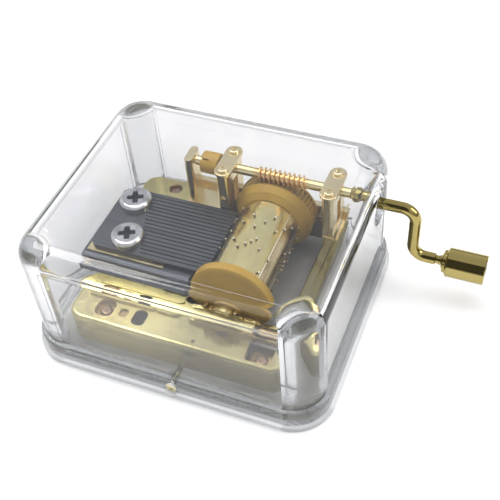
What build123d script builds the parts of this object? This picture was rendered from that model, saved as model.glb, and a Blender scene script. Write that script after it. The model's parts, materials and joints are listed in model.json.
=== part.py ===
"""Hand-cranked music box movement in a clear plastic case.

Frame: origin at the bottom centre of the case, +X towards the crank, +Y to the worm
shaft side, +Z up.  Millimetres.  One STEP file per node.
"""
import os
from math import atan, cos, degrees, pi, radians, sin, tan

from build123d import *

os.makedirs("parts", exist_ok=True)

# ---------------------------------------------------------------- case
CASE_L, CASE_D, CASE_H = 64.0, 54.0, 32.0     # clear cover, outer
CASE_R = 7.3                                  # vertical corner radius
CASE_TOP_R, INNER_TOP_R = 4.3, 2.3            # rounding of the top edges, outside and inside
WALL = 2.0
TOP_T = 2.2
PANEL_IN, PANEL_DROP = 4.7, 0.15              # sunk flat panel of the cover's top
WALL_DROP = 0.18                              # sunk flat part of its walls
POST_R = 5.4                                  # solid quarter-round post in each corner
FLANGE_OUT, FLANGE_T = 1.6, 1.6               # base plate lip beyond the cover
BEAD_OUT, BEAD_T = 0.9, 4.0                   # thickened bottom rim of the cover
PLUG_TOP, PLUG_GAP = 3.2, 0.15                # raised middle of the base plate
HOLE_R = 5.0                                  # shaft hole in the right wall
LOCK_X, LOCK_Z, LOCK_END = 0.8, 2.4, -20.4    # locking pin

# ---------------------------------------------------------------- movement axes
CYL_X, CYL_Z = 8.0, 13.0                      # cylinder axis, along Y
MODULE_P = 1.1                                # worm axial pitch
TEETH = 50
WHEEL_RP = TEETH * MODULE_P / (2 * pi)
CENTRES = 10.1                                # worm axis above cylinder axis
WORM_RP = CENTRES - WHEEL_RP
SHAFT_Y, SHAFT_Z = 17.0, CYL_Z + CENTRES      # worm shaft axis, along X
FLANK = tan(radians(20))
TOOTH_W = MODULE_P / 2 - 0.06                 # tooth and thread width at the pitch line

# ---------------------------------------------------------------- bedplate
BED_TOP, BED_T = 10.6, 1.3
BED_X0, BED_X1, BED_Y0, BED_Y1 = -26.6, 24.4, -21.6, 22.0
BED_BOTTOM = PLUG_TOP
SUNK_TOP = 7.6                                # screw boss under the square opening
WELL = (-1.8, 20.2, -12.6, 19.9)              # opening for the cylinder x0, x1, y0, y1
BED_SCREWS = ((-17.6, -17.4), (-18.2, 18.6), (17.6, -17.6))

# ---------------------------------------------------------------- comb
TEETH_N, TOOTH_PITCH = 18, 1.05
COMB_Y0 = -6.4
COMB_Y1 = COMB_Y0 + TEETH_N * TOOTH_PITCH
COMB_X0, COMB_TIP = -27.3, 0.56
COMB_BOTTOM, COMB_TOP = 13.3, 14.2
SLIT = 0.26
ROOT_FRONT, ROOT_BACK = -15.0, -21.6          # where the slits end, front and back
COMB_SCREWS = ((-22.8, 8.1), (-19.5, -2.6))
COMB_HEAD_R, COMB_HEAD_H = 3.7, 2.0
BLOCK_X1 = -2.6                               # end of the block's front strip

# ---------------------------------------------------------------- cylinder
CYL_R, CYL_WALL = 6.6, 0.55
CYL_Y0, CYL_Y1 = -7.6, 12.7
PIN_R, PIN_OUT = 0.27, 0.62
RING_Y0, RING_Y1 = 15.6, 18.4                 # toothed ring between two plain rims
RIM_R = 9.1
DISC_R = 9.0
JOURNAL_R, ARBOR_R, REAR_R = 1.85, 1.2, 0.80
FRONT_Y, FRONT_FEET = -14.2, (2.5, 13.5)      # front bearing and its rivets

# ---------------------------------------------------------------- crank
SHAFT_R = 1.10
ROD_R = 1.28
STUB_R = 0.75
ARM_X = 39.3
BEND_R = 3.0
KNOB_Z = 10.1
KNOB_X0, KNOB_X1, KNOB_R = 47.0, 55.3, 3.25
SPINDLE_R = 0.65
BULB_X, SPIGOT_R = 25.3, 0.70                 # joint of worm shaft and crank
BUSH_X = (-8.9, -4.9)
THREAD_TURNS = 10
THREAD_X = CYL_X - 3.5 * MODULE_P             # a gap of the worm faces the upright wheel tooth
WORM_X = (THREAD_X - 0.7, THREAD_X + THREAD_TURNS * MODULE_P + 0.7)
CORE_R = WORM_RP - 0.25

# ---------------------------------------------------------------- bracket
POST_L = (-12.7, -10.8)                       # left end post, x range
POST_L_TOP = 24.6
POST_1 = (-4.0, -1.5)
POST_2 = (20.05, 22.55)
PRONG_Y = (12.3, 21.7)
STRAP_Z, STRAP_T = SHAFT_Z + 1.15, 0.7
RIVET_Y, RIVET_R = (SHAFT_Y - 3.25, SHAFT_Y + 3.25), 0.65
BRACKET_SCREWS = ((-7.0, 16.6), (21.9, 15.0))
RUN = 0.05                                    # radial running clearance


def box(x0, x1, y0, y1, z0, z1):
    """Box between two opposite corners."""
    return Pos((x0 + x1) / 2, (y0 + y1) / 2, (z0 + z1) / 2) * Box(x1 - x0, y1 - y0, z1 - z0)


def rod_x(x0, x1, r, y=SHAFT_Y, z=SHAFT_Z):
    """Round bar along X."""
    return Pos((x0 + x1) / 2, y, z) * Rot(0, 90, 0) * Cylinder(r, x1 - x0)


def rod_y(y0, y1, r, x=CYL_X, z=CYL_Z):
    """Round bar along Y."""
    return Pos(x, (y0 + y1) / 2, z) * Rot(90, 0, 0) * Cylinder(r, y1 - y0)


def rod_z(z0, z1, r, x, y):
    """Round bar along Z."""
    return Pos(x, y, (z0 + z1) / 2) * Cylinder(r, z1 - z0)


def turned(profile, axis, origin):
    """Solid of revolution: profile is a list of (along, radius) pairs, closed on the axis."""
    if axis == "x":
        plane = Plane(origin=origin, x_dir=(1, 0, 0), z_dir=(0, -1, 0))
        line = Axis(origin, (1, 0, 0))
    else:
        plane = Plane(origin=origin, x_dir=(0, 1, 0), z_dir=(1, 0, 0))
        line = Axis(origin, (0, 1, 0))
    return revolve(plane * make_face(Polyline(*profile, close=True)), line)


def slab(length, depth, r, z0, z1):
    """Rounded rectangle block centred on the case."""
    return Pos(0, 0, z0) * extrude(RectangleRounded(length, depth, r), z1 - z0)


def save(name, solid, colour):
    """Export one node."""
    solids = solid.solids()
    out = solids[0] if len(solids) == 1 else Compound(children=list(solids))
    out.label, out.color = name, Color(*colour)
    ok = all(s.is_valid for s in solids)
    print(f"{name:24s} solids {len(solids):3d} volume {sum(s.volume for s in solids):9.2f} ok {ok}")
    export_step(out, f"parts/{name}.step")


# ================================================================ case parts
def cavity():
    """Inside of the cover: a box with a solid quarter-round post left in every corner."""
    inner_l, inner_d = CASE_L - 2 * WALL, CASE_D - 2 * WALL
    plan = Rectangle(inner_l, inner_d)
    for sx in (-1, 1):
        for sy in (-1, 1):
            plan -= Pos(sx * inner_l / 2, sy * inner_d / 2) * Circle(POST_R)
    room = Pos(0, 0, FLANGE_T - 1) * extrude(plan, CASE_H - TOP_T - FLANGE_T + 1)
    return fillet(room.faces().sort_by(Axis.Z)[-1].edges(), INNER_TOP_R)


def lock_bore():
    """Counterbored hole for the locking pin, low in the middle of the front."""
    y_face = -CASE_D / 2 - BEAD_OUT
    bore = rod_y(y_face - 1.5, y_face + 1.0, 1.45, LOCK_X, LOCK_Z)
    bore += rod_y(y_face, LOCK_END + 0.3, 0.47, LOCK_X, LOCK_Z)
    # the shank lies in an open groove inside the case
    bore += box(LOCK_X - 0.55, LOCK_X + 0.55, -CASE_D / 2 + WALL, LOCK_END + 0.3, LOCK_Z, PLUG_TOP + 1)
    return bore


def make_cover():
    shell = slab(CASE_L, CASE_D, CASE_R, FLANGE_T, CASE_H)
    top_edges = shell.faces().sort_by(Axis.Z)[-1].edges()
    shell = fillet(top_edges, CASE_TOP_R)
    panel = (CASE_L - 2 * PANEL_IN, CASE_D - 2 * PANEL_IN, CASE_R - PANEL_IN)
    shell -= slab(*panel, CASE_H - PANEL_DROP, CASE_H + 1)
    # the flat part of each wall is sunk a little too
    z0, z1 = FLANGE_T + BEAD_T, CASE_H - CASE_TOP_R
    x, y = CASE_L / 2, CASE_D / 2
    for side in (-1, 1):
        shell -= Pos(side * (x + 0.5), 0, (z0 + z1) / 2) * Box(
            1 + 2 * WALL_DROP, CASE_D - 2 * CASE_R, z1 - z0)
        shell -= Pos(0, side * (y + 0.5), (z0 + z1) / 2) * Box(
            CASE_L - 2 * CASE_R, 1 + 2 * WALL_DROP, z1 - z0)
    bead = slab(CASE_L + 2 * BEAD_OUT, CASE_D + 2 * BEAD_OUT, CASE_R + BEAD_OUT,
                FLANGE_T, FLANGE_T + BEAD_T)
    bead = fillet(bead.faces().sort_by(Axis.Z)[-1].edges(), 0.6)
    shell += bead
    shell -= cavity()
    shell -= rod_x(24.0, CASE_L / 2 + 4, HOLE_R)
    shell -= lock_bore()
    return shell


def make_base_plate():
    base = slab(CASE_L + 2 * FLANGE_OUT, CASE_D + 2 * FLANGE_OUT, CASE_R + FLANGE_OUT,
                0, FLANGE_T)
    base = chamfer(base.faces().sort_by(Axis.Z)[0].edges(), 0.35)
    gap = PLUG_GAP
    plan = Rectangle(CASE_L - 2 * (WALL + gap), CASE_D - 2 * (WALL + gap))
    for sx in (-1, 1):
        for sy in (-1, 1):
            plan -= (Pos(sx * (CASE_L / 2 - WALL), sy * (CASE_D / 2 - WALL))
                     * Circle(POST_R + gap))
    base += Pos(0, 0, FLANGE_T - 0.2) * extrude(plan, PLUG_TOP - FLANGE_T + 0.2)
    base -= lock_bore()
    for x, y in BED_SCREWS:
        base -= rod_z(-1, PLUG_TOP + 1, 1.5, x, y)
        base -= rod_z(-1, 1.0, 2.5, x, y)
    return base


def make_lock_pin():
    y_face = -CASE_D / 2 - BEAD_OUT
    head = rod_y(y_face + 0.1, y_face + 1.0, 1.35, LOCK_X, LOCK_Z)
    head = fillet(head.edges().sort_by(Axis.Y)[0], 0.3)
    head -= rod_y(y_face, y_face + 0.35, 0.85, LOCK_X, LOCK_Z)
    return head + rod_y(y_face + 0.9, LOCK_END, 0.42, LOCK_X, LOCK_Z)


def make_bed_screws():
    """Self-tapping screws from below that hold the bedplate on the base plate."""
    out = []
    for x, y in BED_SCREWS:
        tip = BED_TOP - 0.7 if x < 0 else SUNK_TOP + 0.2
        screw = rod_z(0.1, 0.95, 2.3, x, y) + rod_z(0.9, tip, 1.4, x, y)
        screw = fillet(screw.edges().sort_by(Axis.Z)[-1], 0.6)
        for turn in (0, 90):
            screw -= Pos(x, y, 0.3) * Rot(0, 0, turn) * Box(2.6, 0.55, 0.5)
        out.append(screw)
    return Compound(children=out)


# ================================================================ bedplate
def bed_plan(inset):
    """Lobed outline of the bedplate, moved inwards by inset."""
    i = inset
    plan = make_face(Polyline(
        (BED_X0 + 1.2 + i, BED_Y0 + i), (BED_X1 - 1.8 - i, BED_Y0 + i),
        (BED_X1 - 1.8 - i, -12.0), (BED_X1 - i, -8.0), (BED_X1 - i, BED_Y1 - i),
        (-1.5, BED_Y1 - i), (BED_X0 + i, BED_Y1 - i), (BED_X0 + i, 11.5 + i),
        (-21.5 + i, 9.5 + i), (-21.5 + i, -9.0 - i), (BED_X0 + 1.2 + i, -12.0 - i),
        close=True))
    corners = plan.vertices()
    tips = [v for v in corners if v.X < BED_X0 + 3 and abs(v.Y) > 15]
    plan = fillet(tips, 3.6 - i)
    rest = [v for v in plan.vertices()
            if (v.X > 20 and abs(v.Y) > 15) or (abs(v.Y) < 13 and v.X < -20)]
    return fillet(rest, 2.2 - 0.5 * i)


def make_bedplate():
    skin = Pos(0, 0, BED_BOTTOM) * extrude(bed_plan(0), BED_TOP - BED_BOTTOM)
    skin = fillet(skin.faces().sort_by(Axis.Z)[-1].edges(), 0.9)
    skin -= Pos(0, 0, BED_BOTTOM - 1) * extrude(bed_plan(BED_T), BED_TOP - BED_T - BED_BOTTOM + 1)
    x0, x1, y0, y1 = WELL
    well = Pos((x0 + x1) / 2, (y0 + y1) / 2, 0) * extrude(
        RectangleRounded(x1 - x0, y1 - y0, 2.0), 20)
    skin -= well
    rim = [e for e in skin.edges() if abs(e.center().Z - BED_TOP) < 0.01
           and x0 - 0.1 < e.center().X < x1 + 0.1 and y0 - 0.1 < e.center().Y < y1 + 0.1]
    skin = fillet(rim, 0.5)
    # raised pad in front of the comb block
    pad = Pos(-15.2, -12.4, BED_TOP - 0.3) * extrude(RectangleRounded(17.0, 5.4, 1.6), 0.9)
    pad += Pos(-4.6, -13.6, BED_TOP - 0.3) * extrude(RectangleRounded(6.0, 3.0, 1.3), 0.9)
    skin += pad
    # screw bosses under the top
    for points, z0, r in ((BED_SCREWS, BED_BOTTOM, 2.6), (COMB_SCREWS, 6.4, 2.4)):
        for x, y in points:
            skin += rod_z(z0, BED_TOP - 0.5, r, x, y)
    # round-cornered hole over the front screw, slot and pilot mark beside it
    fx, fy = BED_SCREWS[0]
    skin -= Pos(fx, fy, BED_TOP - 1.0) * extrude(RectangleRounded(4.2, 4.6, 1.7), 5)
    skin -= Pos(-13.3, -17.5, BED_TOP - 0.5) * extrude(RectangleRounded(2.0, 2.2, 0.8), 2)
    skin -= Pos(-9.5, -17.6, BED_TOP - 2) * extrude(RectangleRounded(3.0, 4.0, 1.2), 5)
    skin -= rod_z(BED_TOP - 0.5, BED_TOP + 1, 0.4, 3.6, -19.6)
    bx, by = BED_SCREWS[1]
    skin -= rod_z(BED_TOP - 1.0, BED_TOP + 1, 1.6, bx, by)
    # square opening over the sunken right-hand screw
    wx, wy = BED_SCREWS[2]
    skin -= Pos(wx, wy, SUNK_TOP) * extrude(RectangleRounded(5.6, 5.6, 0.9), 8)
    skin += box(wx - 3.2, BED_X1 - 2.6, BED_Y0 + 0.6, wy + 3.2, SUNK_TOP - 1.4, SUNK_TOP)
    for x, y in BED_SCREWS:
        top = BED_TOP + 1 if x < 0 else SUNK_TOP + 1
        skin -= rod_z(BED_BOTTOM - 1, top, 1.42, x, y)
    for x, y in COMB_SCREWS:
        skin -= rod_z(7.0, BED_TOP + 2, 1.27, x, y)
    for x, y in BRACKET_SCREWS:
        skin -= rod_z(7.2, BED_TOP + 2, 0.77, x, y)
    for x in FRONT_FEET:
        skin -= rod_z(8.0, BED_TOP + 2, 0.77, x, FRONT_Y)
    return skin


# ================================================================ comb parts
def comb_root_x(y):
    """X of the slit ends at a given Y."""
    t = (y - COMB_Y0) / (COMB_Y1 - COMB_Y0)
    return ROOT_FRONT + (ROOT_BACK - ROOT_FRONT) * t


def make_comb():
    plate = box(COMB_X0, COMB_TIP, COMB_Y0, COMB_Y1, COMB_BOTTOM, COMB_TOP)
    left = plate.edges().filter_by(Axis.Z).sort_by(Axis.X)[:2]
    plate = fillet(left, 2.0)
    cuts = []
    for k in range(1, TEETH_N):
        y = COMB_Y0 + k * TOOTH_PITCH
        cuts.append(box(comb_root_x(y), COMB_TIP + 1, y - SLIT / 2, y + SLIT / 2,
                        COMB_BOTTOM - 1, COMB_TOP + 1))
    # teeth ground thinner from below
    cuts.append(box(-12.0, COMB_TIP + 1, COMB_Y0 - 1, COMB_Y1 + 1, COMB_BOTTOM - 1,
                    COMB_BOTTOM + 0.25))
    for x, y in COMB_SCREWS:
        cuts.append(rod_z(COMB_BOTTOM - 1, COMB_TOP + 1, 1.45, x, y))
    return plate - cuts


def make_comb_weights():
    """Tuning weights under the tips of the longer teeth."""
    out = []
    for k in range(TEETH_N):
        length = 0.18 * k
        if length < 0.5:
            continue
        y = COMB_Y0 + (k + 0.5) * TOOTH_PITCH
        half = (TOOTH_PITCH - SLIT) / 2 - 0.08
        depth = 0.8 + 0.09 * k
        out.append(box(-1.6 - length, -1.0, y - half, y + half,
                       COMB_BOTTOM + 0.25 - depth, COMB_BOTTOM + 0.25))
    return Compound(children=out)


def make_comb_block():
    """Steel bar under the comb, with a rounded front edge."""
    block = box(COMB_X0 - 1.2, BLOCK_X1, COMB_Y0 - 2.8, COMB_Y1, BED_TOP, COMB_BOTTOM - 0.4)
    front = block.edges().filter_by(Axis.X).group_by(Axis.Y)[0].sort_by(Axis.Z)
    block = fillet(front[-1], 1.5)
    left = block.edges().filter_by(Axis.Z).sort_by(Axis.X)[:2]
    block = fillet(left, 0.5)
    # groove round the front and left faces
    mid = (BED_TOP + COMB_BOTTOM - 0.4) / 2
    y_front, x_left = COMB_Y0 - 2.8, COMB_X0 - 1.2
    block -= rod_x(x_left - 1, BLOCK_X1 + 1, 0.45, y_front - 0.1, mid)
    block -= rod_y(y_front - 1, COMB_Y1 + 1, 0.45, x_left - 0.1, mid)
    # relief under the moving part of the teeth, open on the cylinder side
    block -= box(-14.0, BLOCK_X1 + 1, COMB_Y0 + 0.6, COMB_Y1 + 1, BED_TOP + 0.9, COMB_BOTTOM)
    block -= box(-8.0, BLOCK_X1 + 1, COMB_Y0 + 0.6, COMB_Y1 + 1, BED_TOP - 1, COMB_BOTTOM)
    for x, y in COMB_SCREWS:
        block -= rod_z(BED_TOP - 1, COMB_BOTTOM, 1.35, x, y)
    return block


def make_comb_shim():
    """Thin brass strip between comb and block, showing as a line at the front."""
    shim = box(COMB_X0 - 0.2, -16.6, COMB_Y0 - 0.9, COMB_Y1, COMB_BOTTOM - 0.4, COMB_BOTTOM)
    shim += box(-17.0, -9.0, COMB_Y0 - 0.9, COMB_Y0 + 0.4, COMB_BOTTOM - 0.4, COMB_BOTTOM)
    for x, y in COMB_SCREWS:
        shim -= rod_z(COMB_BOTTOM - 1, COMB_BOTTOM + 1, 1.35, x, y)
    return shim


def phillips(x, y, z_top, size, depth):
    """Cross recess."""
    star = []
    for k in range(4):
        a, b = radians(25 + 90 * k), radians(70 + 90 * k)
        star += [(size / 2 * cos(a - 0.3), size / 2 * sin(a - 0.3)),
                 (size / 2 * cos(a + 0.3), size / 2 * sin(a + 0.3)),
                 (size / 4.2 * cos(b), size / 4.2 * sin(b))]
    return Pos(x, y, z_top - depth) * extrude(make_face(Polyline(*star, close=True)), depth)


def make_comb_screws():
    out = []
    for x, y in COMB_SCREWS:
        head = rod_z(COMB_TOP, COMB_TOP + COMB_HEAD_H, COMB_HEAD_R, x, y)
        head = fillet(head.edges().sort_by(Axis.Z)[-1], 0.9)
        screw = head + rod_z(7.3, COMB_TOP + 0.2, 1.22, x, y)
        screw = chamfer(screw.edges().sort_by(Axis.Z)[0], 0.3)
        screw -= phillips(x, y, COMB_TOP + COMB_HEAD_H, 4.0, 1.3)
        out.append(screw)
    return Compound(children=out)


# ================================================================ brackets
def make_crank_bracket():
    """One casting: floor, rear plate, left end post and two forked posts."""
    foot = BED_TOP
    body = box(POST_L[0], POST_1[1], 13.0, 20.6, foot, foot + 2.0)
    body += box(POST_2[0] + 0.2, POST_2[1] + 0.7, 12.6, 20.6, foot, foot + 2.0)
    body += box(POST_L[0], POST_2[1] + 0.7, 20.2, 21.7, foot, foot + 3.4)
    body += box(CYL_X - 3.2, CYL_X + 3.2, 20.2, 21.7, foot, foot + 6.2)
    left = Pos(sum(POST_L) / 2, SHAFT_Y, foot) * extrude(
        Rot(0, 0, 90) * SlotOverall(5.2, POST_L[1] - POST_L[0]), POST_L_TOP - foot)
    body += left
    for x0, x1 in (POST_1, POST_2):
        fork = box(x0, x1, PRONG_Y[0], PRONG_Y[1], foot, STRAP_Z)
        fork = fillet(fork.edges().filter_by(Axis.Z), 0.8)
        fork -= box(x0 - 1, x1 + 1, PRONG_Y[0] - 1, COMB_Y1 + 0.3, foot - 1, COMB_TOP + 1.6)
        slot_w = 2 * (SHAFT_R + RUN)
        fork -= box(x0 - 1, x1 + 1, SHAFT_Y - slot_w / 2, SHAFT_Y + slot_w / 2,
                    SHAFT_Z, STRAP_Z + 1)
        fork -= rod_x(x0 - 1, x1 + 1, SHAFT_R + RUN)
        # slot between the prongs under the bearing saddle
        fork -= box(x0 - 1, x1 + 1, SHAFT_Y - 1.2, SHAFT_Y + 1.2, foot + 3.5, SHAFT_Z - 2.6)
        body += fork
        for y in RIVET_Y:
            body -= Pos((x0 + x1) / 2, y, STRAP_Z - 2.4) * Cylinder(
                RIVET_R + 0.01, 5.2)
    # groove down the outer face of the first post
    body -= Pos(sum(POST_1) / 2, PRONG_Y[0], 19.5) * Box(1.0, 0.8, 4.0)
    body -= rod_x(POST_L[0] - 1, POST_L[1] + 1, STUB_R + RUN)
    body -= rod_y(19, 23, REAR_R + RUN)
    for x, y in BRACKET_SCREWS:
        body -= rod_z(foot - 1, foot + 1.6, 0.77, x, y)
    return body


def make_strap(x_range):
    """Stadium plate that closes one bearing fork."""
    x = sum(x_range) / 2
    strap = Pos(x, SHAFT_Y, STRAP_Z) * extrude(Rot(0, 0, 90) * SlotOverall(10.4, 3.9), STRAP_T)
    strap = fillet(strap.faces().sort_by(Axis.Z)[-1].edges(), 0.2)
    for y in RIVET_Y:
        strap -= Pos(x, y, STRAP_Z) * Cylinder(RIVET_R + 0.01, 4)
    return strap


def make_rivets():
    out = []
    for x_range in (POST_1, POST_2):
        x = sum(x_range) / 2
        for y in RIVET_Y:
            top = STRAP_Z + STRAP_T
            head = rod_z(top, top + 0.6, 1.2, x, y)
            head = fillet(head.edges().sort_by(Axis.Z)[-1], 0.35)
            head -= rod_z(top + 0.35, top + 1, 0.5, x, y)
            out.append(head + rod_z(STRAP_Z - 3.0, top + 0.1, RIVET_R, x, y))
    return Compound(children=out)


def make_bracket_screws():
    """Small screws from under the bedplate into the bracket floor."""
    out = []
    for x, y in BRACKET_SCREWS:
        z = BED_TOP - BED_T
        head = fillet(rod_z(z - 0.8, z, 1.15, x, y).edges().sort_by(Axis.Z)[0], 0.3)
        screw = head + rod_z(z - 0.1, BED_TOP + 1.4, 0.75, x, y)
        out.append(screw - Pos(x, y, z - 0.8) * Box(3, 0.4, 0.6))
    return Compound(children=out)


def make_front_bracket():
    """Saddle that carries the front journal, with an ear on the left and an arm on the right."""
    y0, y1 = FRONT_Y - 1.1, FRONT_Y + 1.1
    foot = BED_TOP + 1.0
    seat, top = CYL_Z + 0.7, CYL_Z + 2.1
    plan = make_face(Polyline((0.8, BED_TOP), (15.2, BED_TOP), (15.2, foot), (12.3, foot),
                              (11.2, top), (10.75, top), (10.75, seat), (5.3, seat),
                              (5.0, seat - 0.6), (4.7, seat - 0.6), (4.7, top), (4.2, top + 0.3),
                              (3.85, top), (3.85, foot), (0.8, foot), close=True))
    body = extrude(Plane(origin=(0, y1, 0), x_dir=(1, 0, 0), z_dir=(0, -1, 0)) * plan, y1 - y0)
    body -= rod_y(y0 - 1, y1 + 1, JOURNAL_R + RUN)
    for x in FRONT_FEET:
        body -= rod_z(BED_TOP - 1, BED_TOP + 3, 0.79, x, FRONT_Y)
    return body


def make_front_clip():
    """Bent brass strip over the front journal, ribbed along its length."""
    y0, y1 = FRONT_Y - 1.6, FRONT_Y + 1.0
    ring = rod_y(y0, y1, JOURNAL_R + 0.55)
    for a in range(-66, 67, 12):
        rib = box(-0.16, 0.16, y0, y1, JOURNAL_R + 0.4, JOURNAL_R + 0.8)
        ring += Pos(CYL_X, 0, CYL_Z) * Rot(0, a, 0) * rib
    ring -= rod_y(y0 - 1, y1 + 1, JOURNAL_R + RUN)
    return ring & box(CYL_X - 5, CYL_X + 5, y0 - 1, y1 + 1, CYL_Z + 0.7, CYL_Z + 5)


def make_front_rivets():
    out = []
    for x in FRONT_FEET:
        z = BED_TOP + 1.0
        head = fillet(rod_z(z, z + 0.6, 1.15, x, FRONT_Y).edges().sort_by(Axis.Z)[-1], 0.3)
        out.append(head + rod_z(8.6, z + 0.1, 0.75, x, FRONT_Y))
    return Compound(children=out)


# ================================================================ cylinder parts
def make_tube():
    return rod_y(CYL_Y0, CYL_Y1, CYL_R) - rod_y(CYL_Y0 - 1, CYL_Y1 + 1, CYL_R - CYL_WALL)


NOTES = (
    (43, 118, 171, 246), (133, 205, 262), (110, 158, 222, 281), (125, 190, 251),
    (50, 142, 214, 270, 347), (26, 112, 168, 236, 299, 359), (6, 91, 130, 199, 258, 332),
    (13, 90, 150, 219, 307), (88, 137, 184, 240), (77, 121, 207, 273, 312),
    (105, 163, 228, 359), (38, 92, 146, 195, 266, 333), (13, 116, 178, 243),
    (51, 134, 211, 304, 348), (26, 109, 155, 231, 284), (64, 127, 186, 254),
    (98, 161, 217, 275, 310), (78, 140, 202, 248))


def make_pins():
    """Note pins: one track for each comb tooth, angles in degrees round the cylinder."""
    pin = rod_z(CYL_R - 0.05, CYL_R + PIN_OUT, PIN_R, 0, 0)
    pin = chamfer(pin.edges().sort_by(Axis.Z)[-1], 0.09)
    out = []
    for k, angles in enumerate(NOTES):
        y = COMB_Y0 + (k + 0.5) * TOOTH_PITCH
        for a in angles:
            out.append(Pos(CYL_X, y, CYL_Z) * Rot(0, a, 0) * pin)
    return Compound(children=out)


def make_front_disc():
    """Moulded front end cap with a plain rim and a dished face."""
    return turned([(-12.2, 0.0), (-12.2, 2.7), (-11.3, 3.0), (-10.6, 8.2), (-10.4, DISC_R - 0.2),
                   (-10.2, DISC_R), (-8.6, DISC_R), (-8.4, DISC_R - 0.2),
                   (-7.6, CYL_R + 0.6), (-7.6, CYL_R - CYL_WALL), (-5.4, CYL_R - CYL_WALL),
                   (-5.4, 0.0)],
                  "y", (CYL_X, 0, CYL_Z)) - rod_y(-14, 0, ARBOR_R)


def make_worm_wheel():
    """Rear end cap with a conical shoulder and helical worm-wheel teeth."""
    root = CENTRES - (WORM_RP + 0.30) - 0.10
    tip = WHEEL_RP + 0.15
    y0, y1 = RING_Y0, RING_Y1
    hub = turned([(10.4, 0.0), (10.4, CYL_R - CYL_WALL), (CYL_Y1, CYL_R - CYL_WALL),
                  (CYL_Y1, CYL_R + 0.3), (13.5, 7.9), (13.7, 8.2), (14.9, RIM_R - 0.1),
                  (15.1, RIM_R), (y0, RIM_R), (y0, root), (y1, root), (y1, RIM_R),
                  (18.9, RIM_R), (19.1, RIM_R - 0.2), (19.1, 3.4), (19.4, 3.0), (19.4, 0.0)],
                 "y", (CYL_X, 0, CYL_Z))
    lead = atan(MODULE_P / (2 * pi * WORM_RP))
    width = RING_Y1 - RING_Y0
    half = TOOTH_W / 2
    low, high = root - 0.15, tip
    w_low = half + (WHEEL_RP - low) * FLANK
    w_high = half - (high - WHEEL_RP) * FLANK
    flat = make_face(Polyline((-w_low, low), (w_low, low), (w_high, high), (-w_high, high),
                              close=True))
    tooth = extrude(Plane(origin=(0, 0, 0), x_dir=(1, 0, 0), z_dir=(0, -1, 0)) * flat,
                    width / 2 / cos(lead), both=True)
    tooth = Rot(0, 0, -degrees(lead)) * tooth
    teeth = [Pos(CYL_X, (RING_Y0 + RING_Y1) / 2, CYL_Z) * Rot(0, k * 360 / TEETH, 0) * tooth
             for k in range(TEETH)]
    wheel = hub + teeth
    return wheel - rod_y(0, 25, ARBOR_R)


def make_arbor():
    """Cylinder arbor: large front journal, thin core, small rear journal."""
    front = FRONT_Y - 2.0
    return turned([(front, 0.0), (front, JOURNAL_R - 0.3), (front + 0.3, JOURNAL_R),
                   (-12.2, JOURNAL_R), (-12.2, ARBOR_R), (19.4, ARBOR_R), (19.4, REAR_R),
                   (22.4, REAR_R), (22.4, 0.0)], "y", (CYL_X, 0, CYL_Z))


# ================================================================ crank parts
def make_shaft():
    """Plain worm shaft: thin end stub, reduced neck inside the worm, spigot for the crank."""
    neck = CORE_R - 0.25
    return turned([(-12.4, 0.0), (-12.4, STUB_R - 0.15), (-12.25, STUB_R), (-10.5, STUB_R),
                   (-10.5, SHAFT_R), (WORM_X[0], SHAFT_R), (WORM_X[0], neck),
                   (WORM_X[1], neck), (WORM_X[1], SHAFT_R), (BULB_X, SHAFT_R),
                   (BULB_X, SPIGOT_R), (28.3, SPIGOT_R), (28.3, 0.0)],
                  "x", (0, SHAFT_Y, SHAFT_Z))


def make_worm():
    """Single-start right-hand worm round the reduced neck of the shaft."""
    height = THREAD_TURNS * MODULE_P
    half = TOOTH_W / 2
    crest, overlap = 0.55, 0.05
    path = Helix(MODULE_P, height, CORE_R)
    flat = make_face(Polyline((-overlap, -half - 0.30 * FLANK), (crest, -half + 0.30 * FLANK),
                              (crest, half - 0.30 * FLANK), (-overlap, half + 0.30 * FLANK),
                              close=True))
    profile = Plane(origin=path @ 0, x_dir=(1, 0, 0), z_dir=path % 0) * flat
    thread = sweep(profile, path, is_frenet=True)
    sleeve = Pos(0, 0, height / 2) * Cylinder(CORE_R, WORM_X[1] - WORM_X[0])
    worm = Pos(THREAD_X, SHAFT_Y, SHAFT_Z) * Rot(0, 90, 0) * (sleeve + thread)
    return worm - rod_x(WORM_X[0] - 1, WORM_X[1] + 1, CORE_R - 0.25)


def make_bush():
    """Split plastic friction bush clamped on the shaft."""
    bush = rod_x(BUSH_X[0], BUSH_X[1], 2.5)
    bush = fillet(bush.edges().filter_by(GeomType.CIRCLE), 0.35)
    bush -= rod_x(-12, -3, SHAFT_R)
    bush -= Pos(BUSH_X[0], SHAFT_Y, SHAFT_Z) * Rot(35, 0, 0) * Pos(0, 0, 2.0) * Box(4.0, 0.35, 2.4)
    return bush


def make_crank_rod():
    """Bent crank rod with a bulbed socket inside the case and a spindle for the knob."""
    y, z = SHAFT_Y, SHAFT_Z
    path = FilletPolyline((29.0, y, z), (ARM_X, y, z), (ARM_X, y, KNOB_Z), (44.4, y, KNOB_Z),
                          radius=BEND_R)
    rod = sweep(Plane(origin=(29.0, y, z), z_dir=(1, 0, 0)) * Circle(ROD_R), path)
    socket = turned([(BULB_X, 0.0), (BULB_X, 1.35), (25.8, 1.65), (27.0, 1.65), (27.7, 1.25),
                     (28.2, 1.15), (28.8, ROD_R), (29.0, ROD_R), (29.0, 0.0)],
                    "x", (0, y, z))
    spindle = turned([(44.4, 0.0), (44.4, ROD_R), (44.6, 0.95), (45.3, 0.95), (45.4, 1.15),
                      (45.75, 1.15), (45.8, SPINDLE_R), (51.35, SPINDLE_R),
                      (51.35, 1.05), (51.8, 1.05), (52.0, 0.85), (52.0, 0.0)],
                     "x", (0, y, KNOB_Z))
    return rod + socket + spindle - rod_x(BULB_X - 1, 28.4, SPIGOT_R)


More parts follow.
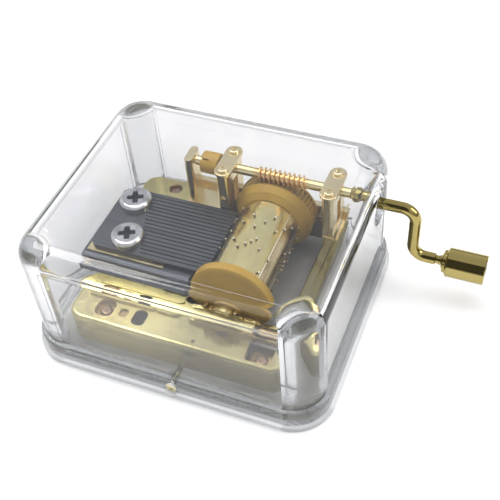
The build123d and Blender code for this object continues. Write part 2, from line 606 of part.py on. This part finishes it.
def make_knob():
    """Turned knob, free to spin on the spindle."""
    return turned([(45.9, SPINDLE_R + RUN), (45.9, 1.7), (46.2, 2.0), (46.2, 2.5), (46.8, 2.6),
                   (46.9, 2.95), (47.2, KNOB_R), (KNOB_X1 - 0.15, KNOB_R),
                   (KNOB_X1, KNOB_R - 0.15), (KNOB_X1, 1.45), (51.2, 1.45),
                   (51.2, SPINDLE_R + RUN)], "x", (0, SHAFT_Y, KNOB_Z))


def make_knob_plug():
    """Disc that closes the outer end of the knob."""
    return rod_x(54.2, KNOB_X1 - 0.1, 1.45, SHAFT_Y, KNOB_Z)


BRASS, ZINC, AMBER = (0.86, 0.74, 0.42), (0.83, 0.72, 0.52), (0.80, 0.55, 0.20)
STEEL, NICKEL, CLEAR = (0.30, 0.33, 0.38), (0.80, 0.80, 0.80), (0.90, 0.93, 0.95)

PARTS = (
    ("base_plate", make_base_plate, CLEAR),
    ("cover", make_cover, CLEAR),
    ("lock_pin", make_lock_pin, BRASS),
    ("bedplate", make_bedplate, BRASS),
    ("bedplate_screws", make_bed_screws, NICKEL),
    ("comb_block", make_comb_block, STEEL),
    ("comb_shim", make_comb_shim, BRASS),
    ("comb", make_comb, STEEL),
    ("comb_weights", make_comb_weights, STEEL),
    ("comb_screws", make_comb_screws, NICKEL),
    ("crank_bracket", make_crank_bracket, ZINC),
    ("bracket_screws", make_bracket_screws, NICKEL),
    ("strap_left", lambda: make_strap(POST_1), ZINC),
    ("strap_right", lambda: make_strap(POST_2), ZINC),
    ("strap_rivets", make_rivets, ZINC),
    ("front_bracket", make_front_bracket, BRASS),
    ("front_clip", make_front_clip, BRASS),
    ("front_rivets", make_front_rivets, BRASS),
    ("cylinder_tube", make_tube, BRASS),
    ("cylinder_pins", make_pins, BRASS),
    ("front_disc", make_front_disc, AMBER),
    ("worm_wheel", make_worm_wheel, AMBER),
    ("cylinder_arbor", make_arbor, BRASS),
    ("worm_shaft", make_shaft, BRASS),
    ("worm", make_worm, BRASS),
    ("shaft_bush", make_bush, AMBER),
    ("crank_rod", make_crank_rod, BRASS),
    ("crank_knob", make_knob, BRASS),
    ("knob_plug", make_knob_plug, BRASS),
)

for part_name, maker, colour in PARTS:
    save(part_name, maker(), colour)
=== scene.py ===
"""Looks of the hand-crank music box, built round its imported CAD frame.

Lengths are in metres.  The CAD meshes keep the frame's own coordinates, so a tint can be
placed by position, and it rides with its piece in every pose.
"""
import bpy
import json
import math
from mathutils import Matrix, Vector

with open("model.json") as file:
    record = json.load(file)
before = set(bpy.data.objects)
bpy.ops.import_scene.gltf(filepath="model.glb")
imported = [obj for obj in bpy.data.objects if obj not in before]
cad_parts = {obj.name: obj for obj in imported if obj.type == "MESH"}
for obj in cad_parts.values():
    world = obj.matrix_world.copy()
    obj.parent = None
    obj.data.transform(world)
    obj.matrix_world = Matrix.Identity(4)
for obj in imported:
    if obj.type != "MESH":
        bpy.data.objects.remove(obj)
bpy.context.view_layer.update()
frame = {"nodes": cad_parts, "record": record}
MM = 0.001
scene = bpy.context.scene


# ------------------------------------------------------------------ node helpers
class Nodes:
    """Short calls for the nodes of one tree."""

    def __init__(self, tree):
        self.tree = tree

    def add(self, kind, **values):
        """A new node: lower-case names are its properties, the others its inputs."""
        node = self.tree.nodes.new(kind)
        for key, value in values.items():
            if key[0].islower():
                setattr(node, key, value)
            else:
                node.inputs[key.replace("_", " ")].default_value = value
        return node

    def link(self, a, b):
        self.tree.links.new(a, b)

    def ramp(self, fac, stops):
        """Colour ramp: each stop is a place and a grey value or a colour."""
        node = self.add("ShaderNodeValToRGB")
        ramp = node.color_ramp
        while len(ramp.elements) < len(stops):
            ramp.elements.new(0.5)
        for element, (place, value) in zip(ramp.elements, stops):
            element.position = place
            element.color = (*value, 1) if hasattr(value, "__len__") else (value, value, value, 1)
        self.link(fac, node.inputs["Fac"])
        return node.outputs["Color"]

    def mix(self, fac, a, b, mode="MIX"):
        """Colour mix: each argument is a socket, a colour or a number."""
        node = self.add("ShaderNodeMix", data_type="RGBA", blend_type=mode)
        for socket, value in zip((node.inputs[0], node.inputs[6], node.inputs[7]), (fac, a, b)):
            if hasattr(value, "links"):
                self.link(value, socket)
            elif hasattr(value, "__len__"):
                socket.default_value = (*value, 1)
            else:
                socket.default_value = value
        return node.outputs[2]

    def calc(self, kind, a, b=0.0):
        node = self.add("ShaderNodeMath", operation=kind)
        for socket, value in zip(node.inputs, (a, b)):
            if hasattr(value, "links"):
                self.link(value, socket)
            else:
                socket.default_value = value
        return node.outputs[0]


class Mat(Nodes):
    """A material of one Principled shader."""

    def __init__(self, name):
        self.mat = bpy.data.materials.new(name)
        self.mat.use_nodes = True
        super().__init__(self.mat.node_tree)
        self.bsdf = self.tree.nodes["Principled BSDF"]
        self.out = self.tree.nodes["Material Output"]
        self.where = self.add("ShaderNodeTexCoord").outputs["Object"]

    def set(self, **values):
        for key, value in values.items():
            self.bsdf.inputs[key.replace("_", " ")].default_value = value

    def colour(self, value):
        self.link(value, self.bsdf.inputs["Base Color"])

    def rough(self, value):
        self.link(value, self.bsdf.inputs["Roughness"])

    def normal(self, value):
        self.link(value, self.bsdf.inputs["Normal"])

    def mapped(self, scale):
        """The surface point, scaled along each axis."""
        node = self.add("ShaderNodeMapping", Scale=scale)
        self.link(self.where, node.inputs["Vector"])
        return node.outputs[0]

    def noise(self, scale, detail=3.0, rough=0.5, stretch=(1, 1, 1)):
        node = self.add("ShaderNodeTexNoise", Scale=scale, Detail=detail, Roughness=rough)
        self.link(self.mapped(stretch), node.inputs["Vector"])
        return node.outputs["Fac"]

    def drift(self, scale, detail=4.0, low=0.35, high=0.7, **noise):
        """Soft blotches between 0 and 1, for slow changes of colour."""
        return self.ramp(self.noise(scale, detail, **noise), ((low, 0.0), (high, 1.0)))

    def bump(self, height, strength, distance, after=None):
        node = self.add("ShaderNodeBump", Strength=strength, Distance=distance)
        self.link(height, node.inputs["Height"])
        if after is not None:
            self.link(after, node.inputs["Normal"])
        return node.outputs["Normal"]

    def axis(self, index):
        """One coordinate of the surface point."""
        node = self.add("ShaderNodeSeparateXYZ")
        self.link(self.where, node.inputs[0])
        return node.outputs[index]

    def band(self, value, low, high):
        """0 below low, 1 above high, straight between."""
        node = self.add("ShaderNodeMapRange")
        node.inputs["From Min"].default_value = low
        node.inputs["From Max"].default_value = high
        self.link(value, node.inputs["Value"])
        return node.outputs[0]

    def below(self, value, low, high):
        """1 below low, 0 above high, straight between."""
        return self.calc("SUBTRACT", 1.0, self.band(value, low, high))

    def patch(self, centre, half, top):
        """1 inside a square round a point of the plan and below a height, else 0."""
        dx = self.calc("ABSOLUTE", self.calc("SUBTRACT", self.axis(X), centre[0]))
        dy = self.calc("ABSOLUTE", self.calc("SUBTRACT", self.axis(Y), centre[1]))
        inside = self.calc("LESS_THAN", self.calc("MAXIMUM", dx, dy), half)
        return self.calc("MULTIPLY", inside, self.calc("LESS_THAN", self.axis(Z), top))

    def see_through_shadow(self, tint):
        """Shadow rays pass with a tint, so that what is behind the plastic stays lit."""
        path = self.add("ShaderNodeLightPath")
        clear = self.add("ShaderNodeBsdfTransparent")
        clear.inputs["Color"].default_value = (*tint, 1)
        mixer = self.add("ShaderNodeMixShader")
        self.link(path.outputs["Is Shadow Ray"], mixer.inputs[0])
        self.link(self.bsdf.outputs[0], mixer.inputs[1])
        self.link(clear.outputs[0], mixer.inputs[2])
        self.link(mixer.outputs[0], self.out.inputs["Surface"])


X, Y, Z = 0, 1, 2
GRAIN = 900.0               # noise scale of fine metal grain
GRAIN_DEPTH = 0.00004       # height of that grain
WAVE_DEPTH = 0.0003         # height of slow waves in a casting
ACRYLIC_IOR = 1.49


# ------------------------------------------------------------------ metals
def metal(name, base, dark, rough, bump=0.03):
    """Plated or ground metal: slow colour drift and grain in the roughness."""
    spread = 0.05
    m = Mat(name)
    m.set(Metallic=1.0)
    m.colour(m.mix(m.drift(90.0), base, dark))
    fine = m.noise(GRAIN, 3.0, 0.6)
    m.rough(m.ramp(fine, ((0.3, max(rough - spread, 0.02)), (0.75, rough + spread))))
    m.normal(m.bump(fine, bump, GRAIN_DEPTH))
    return m.mat


# the bedplate's holes, pilot mark and slots, given painted shade inside: middle in plan, half
# width
HOLES = (((0.0176, -0.0176), 0.0029), ((-0.0176, -0.0174), 0.0024), ((-0.0133, -0.0175), 0.0011),
         ((-0.0095, -0.0176), 0.0021), ((-0.0182, 0.0186), 0.0017))
HOLE_SHADE_TOP = 0.0102           # the painted shade stays under the bedplate's top
# painted shade: across this band of x the bedplate's colour turns from bright to duller and
# browner, towards the crank side
PAINTED_SHADE_FROM, PAINTED_SHADE_TO = -0.004, 0.010


def bed_material():
    """Pale yellow casting, with painted light and shade: painted bright on the comb side, painted
    duller and browner on the crank side.
    """
    m = Mat("bed_metal")
    m.set(Metallic=1.0)
    drift = m.drift(95.0)
    # painted light and shade: a bright copy of the casting colour for the comb side, a shaded
    # copy for the crank side
    bright = m.mix(drift, (0.72, 0.63, 0.28), (0.62, 0.52, 0.20))
    shaded_tone = m.mix(drift, (0.38, 0.34, 0.16), (0.28, 0.24, 0.11))
    side = m.calc("ADD", m.axis(X), m.calc("MULTIPLY", m.noise(60.0, 2.0), 0.012))
    shade = m.mix(m.band(side, PAINTED_SHADE_FROM, PAINTED_SHADE_TO), bright, shaded_tone)
    stain = m.ramp(m.noise(170.0), ((0.60, 0.0), (0.72, 0.3)))
    shade = m.mix(stain, shade, (0.30, 0.20, 0.10))
    # painted shade: darker brown down in the holes, pilot mark and slots
    for centre, half in HOLES:
        shade = m.mix(m.patch(centre, half, HOLE_SHADE_TOP), shade, (0.40, 0.28, 0.12))
    m.colour(shade)
    fine = m.noise(GRAIN)
    m.rough(m.ramp(fine, ((0.3, 0.12), (0.75, 0.22))))
    m.normal(m.bump(m.noise(200.0, 2.0), 0.07, WAVE_DEPTH, m.bump(fine, 0.03, GRAIN_DEPTH)))
    return m.mat


def comb_material():
    """Blued grey steel, ground along the teeth."""
    m = Mat("comb_steel")
    m.set(Metallic=0.85)
    lines = m.noise(420.0, 4.0, 0.7, (0.05, 3.0, 1.0))
    drift = m.drift(70.0, 3.0, 0.3, 0.75)
    base = m.mix(drift, (0.055, 0.059, 0.066), (0.082, 0.087, 0.094))
    m.colour(m.mix(m.ramp(lines, ((0.35, 0.0), (0.8, 0.6))), base, (0.130, 0.135, 0.143)))
    m.rough(m.ramp(lines, ((0.3, 0.28), (0.7, 0.42))))
    m.normal(m.bump(lines, 0.12, GRAIN_DEPTH))
    return m.mat


COMB_SCREWS = ((-0.0228, 0.0081), (-0.0195, -0.0026))
RECESS_R, RECESS_TOP, RECESS_DEEP = 0.0023, 0.0160, 0.0152


def screw_material():
    """Bright nickel with painted shade down in the cross recess of the comb screws."""
    m = Mat("screw_nickel")
    m.set(Metallic=1.0)
    plate = m.mix(m.drift(300.0), (0.74, 0.74, 0.72), (0.48, 0.48, 0.46))
    plan = m.mapped((1, 1, 0))
    away = []
    for x, y in COMB_SCREWS:
        node = m.add("ShaderNodeVectorMath", operation="DISTANCE")
        m.link(plan, node.inputs[0])
        node.inputs[1].default_value = (x, y, 0)
        away.append(node.outputs["Value"])
    # painted shade: near black down in the cross recess, fullest towards its bottom
    inside = m.calc("LESS_THAN", m.calc("MINIMUM", *away), RECESS_R)
    deep = m.below(m.axis(Z), RECESS_DEEP, RECESS_TOP)
    m.colour(m.mix(m.calc("MULTIPLY", inside, deep), plate, (0.06, 0.06, 0.06)))
    fine = m.noise(GRAIN)
    m.rough(m.ramp(fine, ((0.3, 0.10), (0.75, 0.22))))
    m.normal(m.bump(fine, 0.05, GRAIN_DEPTH))
    return m.mat


# where the seam runs, and the half width of the painted highlight line along it
SEAM_X, SEAM_HIGHLIGHT_W = 0.0130, 0.00004


def cylinder_material():
    """Pale brass tube: drawn along its length, with a painted highlight as a bright line along
    its seam.
    """
    m = Mat("cylinder_brass")
    m.set(Metallic=1.0)
    drift = m.drift(160.0, 4.0, 0.3, 0.75, rough=0.6, stretch=(1.0, 0.35, 1.0))
    left = m.mix(drift, (0.80, 0.71, 0.36), (0.70, 0.60, 0.26))
    right = m.mix(drift, (0.86, 0.73, 0.45), (0.76, 0.62, 0.35))
    base = m.mix(m.band(m.axis(X), SEAM_X, SEAM_X + 0.0001), left, right)
    off = m.calc("ABSOLUTE", m.calc("SUBTRACT", m.axis(X), SEAM_X))
    seam = m.below(off, SEAM_HIGHLIGHT_W, SEAM_HIGHLIGHT_W * 2.5)
    # painted highlight: a near-white line along the seam
    m.colour(m.mix(seam, base, (0.98, 0.95, 0.80)))
    fine = m.noise(700.0, 3.0, 0.6, (1.5, 0.25, 1.5))
    m.rough(m.mix(seam, m.ramp(fine, ((0.3, 0.17), (0.75, 0.28))), (0.45, 0.45, 0.45)))
    m.normal(m.bump(fine, 0.06, 0.00005))
    return m.mat


CYL_X, CYL_Z = 0.008, 0.013               # the cylinder's axis
# the painted highlight on the pin tips: from this distance to the cylinder's axis, after this
# fade
PIN_TIP_R, PIN_TIP_FADE = 0.00715, 0.00008


def pin_material():
    """Bronze pins: dark bronze with painted shade in the sides, a painted highlight at the tips.
    """
    m = Mat("pin_metal")
    m.set(Metallic=1.0)
    dx = m.calc("SUBTRACT", m.axis(X), CYL_X)
    dz = m.calc("SUBTRACT", m.axis(Z), CYL_Z)
    squares = m.calc("ADD", m.calc("MULTIPLY", dx, dx), m.calc("MULTIPLY", dz, dz))
    tip_highlight = m.band(m.calc("SQRT", squares), PIN_TIP_R - PIN_TIP_FADE, PIN_TIP_R)
    drift = m.drift(600.0, 2.0, 0.3, 0.7)
    # dark bronze in the sides, darkened further as painted shade; the tips get a painted
    # highlight
    dark = m.mix(drift, (0.20, 0.14, 0.06), (0.12, 0.08, 0.035))
    m.colour(m.mix(tip_highlight, dark, (0.90, 0.84, 0.62)))
    m.rough(m.ramp(drift, ((0.0, 0.22), (1.0, 0.34))))
    return m.mat


# ------------------------------------------------------------------ plastics
def amber_material():
    """Waxy moulded plastic with a little light inside it."""
    m = Mat("amber_plastic")
    m.set(Subsurface_Weight=0.2, Subsurface_Scale=0.0015, Subsurface_Radius=(1.0, 0.6, 0.2),
          IOR=1.5)
    drift = m.drift(130.0, 3.0, 0.3, 0.75)
    m.colour(m.mix(drift, (0.325, 0.190, 0.011), (0.390, 0.245, 0.018)))
    fine = m.noise(1500.0)
    m.rough(m.ramp(fine, ((0.3, 0.34), (0.7, 0.46))))
    m.normal(m.bump(fine, 0.05, 0.00005))
    return m.mat


LOW_FULL, LOW_END = 0.003, 0.022          # heights: painted shade greyest (and haze roughest) below, clearest above
# painted shade also greys the corner posts and, low down, the right wall: bands in x, y and
# height
CORNER_X, CORNER_Y = (0.0255, 0.0285), (0.0205, 0.0235)
WALL_X, WALL_Z = (0.0285, 0.0300), (0.020, 0.026)
RIM_FULL, RIM_END = 0.005, 0.008


def clear_material():
    """Clear moulded plastic with haze and flow marks, greyed as painted shade low down,
    in the corner posts and in the right wall."""
    m = Mat("clear_plastic")
    m.set(Transmission_Weight=1.0, IOR=ACRYLIC_IOR, Specular_IOR_Level=0.3)
    low = m.below(m.axis(Z), LOW_FULL, LOW_END)
    # painted shade: greyer low down, in the corner posts and in the right wall
    tint = m.mix(low, (0.865, 0.865, 0.875), (0.58, 0.585, 0.59))
    corner = m.calc("MULTIPLY", m.band(m.calc("ABSOLUTE", m.axis(X)), *CORNER_X),
                    m.band(m.calc("ABSOLUTE", m.axis(Y)), *CORNER_Y))
    tint = m.mix(m.calc("MULTIPLY", corner, 0.8), tint, (0.52, 0.53, 0.55))
    wall = m.calc("MULTIPLY", m.band(m.axis(X), *WALL_X), m.below(m.axis(Z), *WALL_Z))
    m.colour(m.mix(wall, tint, (0.79, 0.795, 0.80), "MULTIPLY"))
    haze = m.ramp(m.noise(60.0), ((0.4, 0.0), (0.9, 0.02)))
    m.rough(m.calc("ADD", haze, m.calc("MULTIPLY", low, 0.07)))
    rim = m.below(m.axis(Z), RIM_FULL, RIM_END)
    flow = m.calc("MULTIPLY", m.noise(330.0, 3.0, 0.6, (0.35, 0.35, 3.0)), rim)
    m.normal(m.bump(flow, 0.6, 0.0005, m.bump(m.noise(28.0, 2.0), 0.05, 0.0004)))
    m.see_through_shadow((0.90, 0.905, 0.91))
    return m.mat


PLATE_HALF_X, PLATE_HALF_Y = 0.032, 0.027


def frosted_material():
    """Satin clear plastic: grey over the raised middle, clear towards the rim."""
    m = Mat("frosted_plastic")
    m.set(Transmission_Weight=0.55, IOR=ACRYLIC_IOR)
    reach = m.calc("MAXIMUM", m.calc("DIVIDE", m.calc("ABSOLUTE", m.axis(X)), PLATE_HALF_X),
                   m.calc("DIVIDE", m.calc("ABSOLUTE", m.axis(Y)), PLATE_HALF_Y))
    drift = m.drift(140.0, 4.0, 0.3, 0.7)
    middle = m.mix(drift, (0.37, 0.36, 0.325), (0.48, 0.47, 0.43))
    m.colour(m.mix(m.band(reach, 0.88, 0.97), middle, (0.86, 0.865, 0.87)))
    satin = m.ramp(m.noise(700.0), ((0.3, 0.34), (0.7, 0.5)))
    m.rough(m.mix(m.band(reach, 0.90, 0.97), satin, (0.08, 0.08, 0.08)))
    m.normal(m.bump(m.noise(900.0), 0.08, 0.0001))
    m.see_through_shadow((0.6, 0.6, 0.6))
    return m.mat


LOOKS = {                                 # by material slot of the record
    "clear_plastic": clear_material(),
    "frosted_plastic": frosted_material(),
    "bed_metal": bed_material(),
    "bracket_metal": metal("bracket_metal", (0.88, 0.75, 0.45), (0.76, 0.62, 0.34), 0.2),
    "comb_steel": comb_material(),
    "screw_nickel": screw_material(),
    "cylinder_brass": cylinder_material(),
    "amber_plastic": amber_material(),
    "shaft_metal": metal("shaft_metal", (0.78, 0.68, 0.36), (0.64, 0.52, 0.24), 0.14),
    "crank_metal": metal("crank_metal", (0.44, 0.36, 0.135), (0.37, 0.29, 0.10), 0.07, 0.02),
    "pin_metal": pin_material(),
    "worm_bronze": metal("worm_bronze", (0.78, 0.55, 0.25), (0.66, 0.43, 0.17), 0.26, 0.06),
    "screw_bronze": metal("screw_bronze", (0.36, 0.25, 0.16), (0.26, 0.17, 0.10), 0.25),
}

slots = {row["node"]: row["material_slot"] for row in frame["record"]["subparts"]}
for name, obj in frame["nodes"].items():
    obj.data.materials.clear()
    obj.data.materials.append(LOOKS[slots[name]])

# ------------------------------------------------------------------ floor
FLOOR_SIZE = 3.0
bpy.ops.mesh.primitive_plane_add(size=FLOOR_SIZE, location=(0, 0, 0))
floor = bpy.context.object
floor.name = "floor"
fm = Mat("floor_paper")
fm.set(Roughness=0.9)
fm.colour(fm.mix(fm.noise(6.0, 2.0), (0.93, 0.93, 0.93), (0.90, 0.90, 0.90)))
floor.data.materials.append(fm.mat)

# ------------------------------------------------------------------ world and lights
# stops of height in the sky: what the camera sees, straight or through the plastic
SEEN = ((0.0, (0.92, 0.92, 0.92)), (0.30, (0.90, 0.90, 0.91)),
        (0.50, (0.72, 0.75, 0.83)), (1.0, (0.60, 0.64, 0.74)))
# and what shiny surfaces reflect
REFLECTED = ((0.0, (0.28, 0.28, 0.28)), (0.18, (0.42, 0.42, 0.42)),
             (0.45, (0.80, 0.80, 0.80)), (1.0, (0.62, 0.62, 0.64)))
DARK_SIDE = (-0.06, -0.78, 0.63)          # middle of the unlit part of the room
DARK_EDGE = ((0.84, 1.0), (0.87, 0.12))   # cosine of the angle to it, and the light left


def studio_world():
    """Pale room seen directly; reflections get soft bands and one dark side for contrast."""
    world = bpy.data.worlds.new("studio")
    scene.world = world
    world.use_nodes = True
    w = Nodes(world.node_tree)
    way = w.add("ShaderNodeTexCoord").outputs["Generated"]
    split = w.add("ShaderNodeSeparateXYZ")
    w.link(way, split.inputs[0])
    seen = w.ramp(split.outputs["Z"], SEEN)
    bands = w.ramp(split.outputs["Z"], REFLECTED)

    unit = w.add("ShaderNodeVectorMath", operation="NORMALIZE")
    w.link(way, unit.inputs[0])
    dot = w.add("ShaderNodeVectorMath", operation="DOT_PRODUCT")
    w.link(unit.outputs[0], dot.inputs[0])
    dot.inputs[1].default_value = Vector(DARK_SIDE).normalized()
    reflected = w.mix(1.0, bands, w.ramp(dot.outputs["Value"], DARK_EDGE), "MULTIPLY")

    path = w.add("ShaderNodeLightPath")
    direct = w.calc("MAXIMUM", path.outputs["Is Camera Ray"], path.outputs["Is Transmission Ray"])
    w.link(w.mix(direct, reflected, seen), w.tree.nodes["Background"].inputs["Color"])


LIGHT_AIM = Vector((0, 0, 0.01))


def softbox(name, place, size, power, glossy=True):
    """Rectangular area light in watts, aimed at the middle of the object."""
    light = bpy.data.lights.new(name, "AREA")
    light.shape = "RECTANGLE"
    light.size, light.size_y = size
    light.energy = power
    obj = bpy.data.objects.new(name, light)
    scene.collection.objects.link(obj)
    obj.location = place
    obj.rotation_euler = (LIGHT_AIM - Vector(place)).to_track_quat("-Z", "Y").to_euler()
    obj.visible_glossy = glossy


studio_world()
softbox("overhead", (0.0, 0.05, 0.9), (1.0, 1.0), 6.0, glossy=False)
softbox("key", (-0.30, 0.10, 0.50), (0.22, 0.22), 1.0)
softbox("side", (0.45, 0.10, 0.30), (0.20, 0.30), 0.8)

# ------------------------------------------------------------------ camera and render
CAM_PLACE = (61.29, -111.51, 150.50)      # millimetres
CAM_TURN = (42.8991, 3.6067, 21.4646)     # degrees about X, Y, Z
CAM_LENS, CAM_SENSOR = 62.16, 36.0        # millimetres
CAM_CLIP = (0.005, 10.0)

cam_data = bpy.data.cameras.new("camera")
cam_data.lens = CAM_LENS
cam_data.sensor_width = CAM_SENSOR
cam_data.clip_start, cam_data.clip_end = CAM_CLIP
camera = bpy.data.objects.new("camera", cam_data)
scene.collection.objects.link(camera)
camera.location = [v * MM for v in CAM_PLACE]
camera.rotation_euler = [math.radians(a) for a in CAM_TURN]
scene.camera = camera
scene.view_settings.view_transform = "Standard"
CLEAR_BOUNCES, GLOSSY_BOUNCES = 28, 10    # the cover and plate are many layers deep
scene.cycles.max_bounces = CLEAR_BOUNCES
scene.cycles.transmission_bounces = CLEAR_BOUNCES
scene.cycles.glossy_bounces = GLOSSY_BOUNCES
